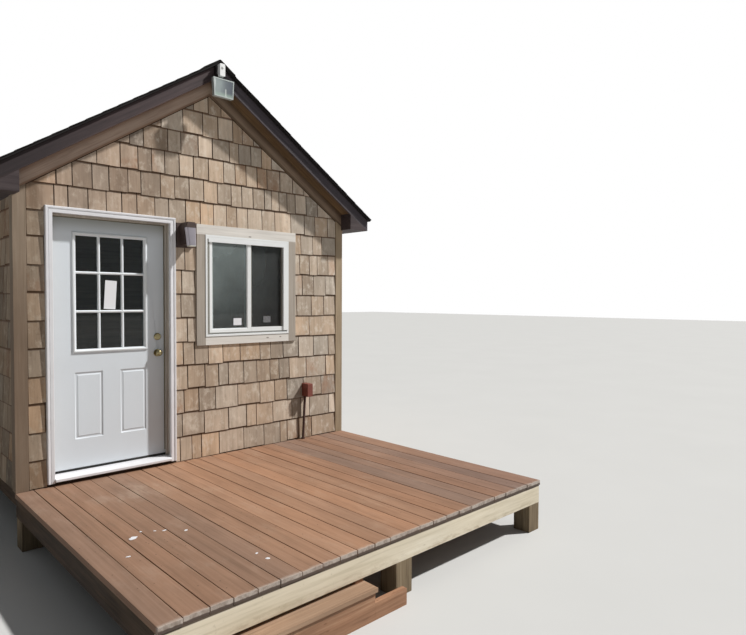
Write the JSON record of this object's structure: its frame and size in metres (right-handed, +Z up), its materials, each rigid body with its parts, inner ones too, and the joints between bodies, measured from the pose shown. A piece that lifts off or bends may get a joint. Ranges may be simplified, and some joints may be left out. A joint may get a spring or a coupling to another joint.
{
  "type": "small gabled lakeside cabin with a front deck",
  "caption": "Small gabled cabin with wood-shingled walls, a half-glazed door, a sliding window, outdoor lights and a plank deck with a box step.",
  "frame": {"origin": "on the ground, under the middle of the whole building's box", "axes": "+Z up, +X to the right along the front, +Y back from the deck into the cabin"},
  "size_m": [3.654, 6.395, 3.9222],
  "materials": {
    "concrete": "rough cast concrete block",
    "floor_timber": "rough sawn softwood",
    "wall_siding": "weathered wood shingles",
    "taupe_trim": "weathered brown stain",
    "cream_trim": "pale weathered board",
    "dark_trim": "dark brown paint",
    "soffit_stain": "orange brown stain",
    "roof_sheathing": "plain sheathing boards",
    "asphalt_shingle": "granular asphalt shingle",
    "door_paint": "smooth white paint",
    "lite_plastic": "white moulded plastic",
    "casing_paint": "white painted moulding",
    "jamb_paint": "weathered grey brown paint",
    "clear_glass": "clear pane",
    "brass": "polished, slightly worn",
    "hinge_steel": "satin plated steel",
    "window_vinyl": "white vinyl",
    "dark_bronze": "dark bronze paint",
    "sensor_plastic": "white plastic",
    "lamp_metal": "grey painted casting",
    "outlet_metal": "weathered red brown paint",
    "deck_stain": "faded red brown stain",
    "rim_timber": "pale bare rim board",
    "side_timber": "dark brown stain",
    "post_timber": "rough treated timber",
    "step_timber": "orange brown stain"
  },
  "bodies": {
    "cabin": {"foundation_blocks": "concrete", "floor_skids": "floor_timber", "floor_joists": "floor_timber", "floor_rim_boards": "floor_timber", "cabin_floor": "floor_timber", "front_wall_left": "wall_siding", "front_wall_right": "wall_siding", "front_gable": "wall_siding", "back_wall": "wall_siding", "left_wall": "wall_siding", "right_wall": "wall_siding", "corner_boards": "taupe_trim", "frieze_boards": "taupe_trim", "rafters": "floor_timber", "ridge_board": "floor_timber", "roof_deck": "roof_sheathing", "roof_shingles": "asphalt_shingle", "ridge_cap": "asphalt_shingle", "rake_boards_left": "dark_trim", "rake_boards_right": "dark_trim", "rake_soffits": "soffit_stain", "cornice_returns": "dark_trim", "eave_fascias": "dark_trim", "eave_soffits": "dark_trim", "return_soffits": "dark_trim", "door_frame": "jamb_paint", "door_stops": "jamb_paint", "door_sill": "casing_paint", "door_casing": "casing_paint", "door_hinges": "hinge_steel", "window_frame": "window_vinyl", "window_sashes": "window_vinyl", "window_glass": "clear_glass", "window_side_casings": "taupe_trim", "window_head_and_apron": "cream_trim", "lantern_body": "dark_bronze", "lantern_glass": "clear_glass", "outlet_box": "outlet_metal", "outlet_conduit": "outlet_metal", "flood_base": "dark_bronze", "flood_sensor": "sensor_plastic", "deck_boards": "deck_stain", "deck_rim_boards": "rim_timber", "deck_side_boards": "side_timber", "deck_joists": "side_timber", "deck_posts": "post_timber", "step_treads": "deck_stain", "step_frame": "step_timber", "step_ends": "step_timber", "step_base_plank": "step_timber"},
    "door": {"door_slab": "door_paint", "door_lite_frame": "lite_plastic", "door_glass": "clear_glass", "door_knob_roses": "brass", "door_deadbolt": "brass", "door_hinge_leaves": "hinge_steel"},
    "knob": {"door_knob": "brass"},
    "lamp": {"flood_lamp": "lamp_metal", "flood_lens": "clear_glass"}
  },
  "joints": [
    {"name": "door_swing", "type": "hinge", "parent": "cabin", "child": "door", "pos_m": [-1.3045, -0.5155, 1.4675], "axis": [0, 0, 1], "range_deg": [0, 90]},
    {"name": "knob_turn", "type": "hinge", "parent": "door", "child": "knob", "pos_m": [-0.46, -0.5455, 1.36], "axis": [0, 1, 0], "range_deg": [-60, 60], "stiffness_Nm_per_rad": 0.4},
    {"name": "flood_tilt", "type": "hinge", "parent": "cabin", "child": "lamp", "pos_m": [0, -0.8345, 3.74878], "axis": [1, 0, 0], "range_deg": [-10, 30]}
  ]
}
